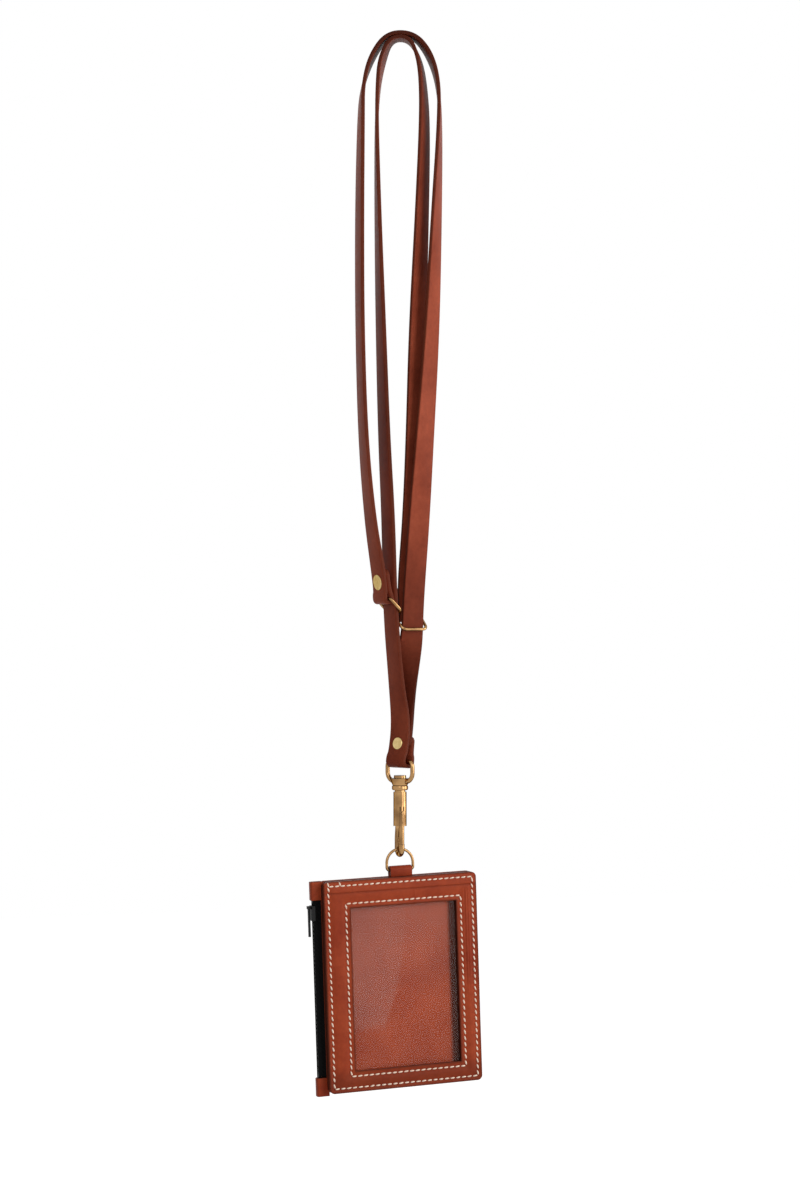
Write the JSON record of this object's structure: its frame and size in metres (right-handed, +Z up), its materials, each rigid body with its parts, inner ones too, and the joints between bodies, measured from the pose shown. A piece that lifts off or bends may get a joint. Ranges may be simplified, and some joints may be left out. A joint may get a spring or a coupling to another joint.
{
  "type": "id badge wallet",
  "caption": "Leather badge wallet with a clear window and a zip pocket, hung by a swivel snap hook from an adjustable leather neck strap",
  "frame": {"origin": "underside of the strap's crown, where it hangs from a peg or a neck", "axes": "+Z up, the window faces -Y, the zip is on the -X side"},
  "size_m": [0.0862, 0.0241, 0.5045],
  "materials": {
    "strap_leather": "waxed, satin",
    "wallet_leather": "waxed, satin",
    "antique_brass": "antique, polished",
    "clear_film": "glossy clear film",
    "seam_thread": "waxed thread",
    "zip_cloth": "woven, matt",
    "zip_black": "black, satin",
    "spring_steel": "bright"
  },
  "bodies": {
    "straps": {"neck_strap": "strap_leather", "ring_strap": "strap_leather", "left_rivet_cap": "antique_brass", "left_rivet_post": "antique_brass", "right_rivet_cap": "antique_brass", "right_rivet_post": "antique_brass", "lower_rivet_cap": "antique_brass", "lower_rivet_post": "antique_brass"},
    "left_ring": {"left_adjuster_ring": "antique_brass"},
    "right_ring": {"right_adjuster_ring": "antique_brass"},
    "eye": {"swivel_eye": "antique_brass"},
    "snap": {"swivel_post": "antique_brass", "snap_body": "antique_brass", "bolt_spring": "spring_steel"},
    "bolt": {"snap_bolt": "antique_brass"},
    "ring": {"hang_ring": "antique_brass"},
    "wallet": {"front_panel": "wallet_leather", "window_film": "clear_film", "card_backing": "wallet_leather", "back_panel": "wallet_leather", "hang_loop": "wallet_leather", "outer_seam": "seam_thread", "window_seam": "seam_thread", "zip_tape_front": "zip_cloth", "zip_tape_back": "zip_cloth", "zip_teeth_front": "zip_black", "zip_teeth_back": "zip_black", "zip_stops": "zip_black", "zip_end_tab_top": "wallet_leather", "zip_end_tab_bottom": "wallet_leather"},
    "slider": {"zip_slider": "zip_black"},
    "puller": {"zip_puller": "zip_black"}
  },
  "joints": [
    {"name": "left_ring_swing", "type": "hinge", "parent": "straps", "child": "left_ring", "pos_m": [-0.00951, -0.00303, -0.266], "axis": [0.1736, -0.9848, 0], "range_deg": [0, 6]},
    {"name": "right_ring_swing", "type": "hinge", "parent": "straps", "child": "right_ring", "pos_m": [0.00391, -0.00036, -0.2745], "axis": [-0.9781, -0.2079, 0], "range_deg": [0, 35]},
    {"name": "eye_swing", "type": "hinge", "parent": "straps", "child": "eye", "pos_m": [0, 0, -0.3435], "axis": [0.4787, -0.878, 0], "range_deg": [-60, 60]},
    {"name": "swivel", "type": "hinge", "parent": "eye", "child": "snap", "pos_m": [0, 0, -0.3531], "axis": [0, 0, 1], "continuous": true},
    {"name": "bolt_slide", "type": "slide", "parent": "snap", "child": "bolt", "axis": [0, 0, 1], "range_m": [0, 0.002], "stiffness_N_per_m": 200, "springref_m": -0.003, "deforming": ["bolt_spring"]},
    {"name": "ring_swing", "type": "hinge", "parent": "snap", "child": "ring", "pos_m": [-0.00012, 0, -0.3917], "axis": [0, 1, 0], "range_deg": [-25, 25]},
    {"name": "wallet_swing", "type": "hinge", "parent": "ring", "child": "wallet", "pos_m": [0, 0, -0.395], "axis": [0.9994, 0, 0.0349], "range_deg": [-60, 60]},
    {"name": "zip_slide", "type": "slide", "parent": "wallet", "child": "slider", "axis": [0.0349, 0, -0.9994], "range_m": [-0.0008, 0.072]},
    {"name": "pull_swing", "type": "hinge", "parent": "slider", "child": "puller", "pos_m": [-0.04535, 0.0011, -0.41159], "axis": [0, 1, 0], "range_deg": [0, 150]}
  ]
}
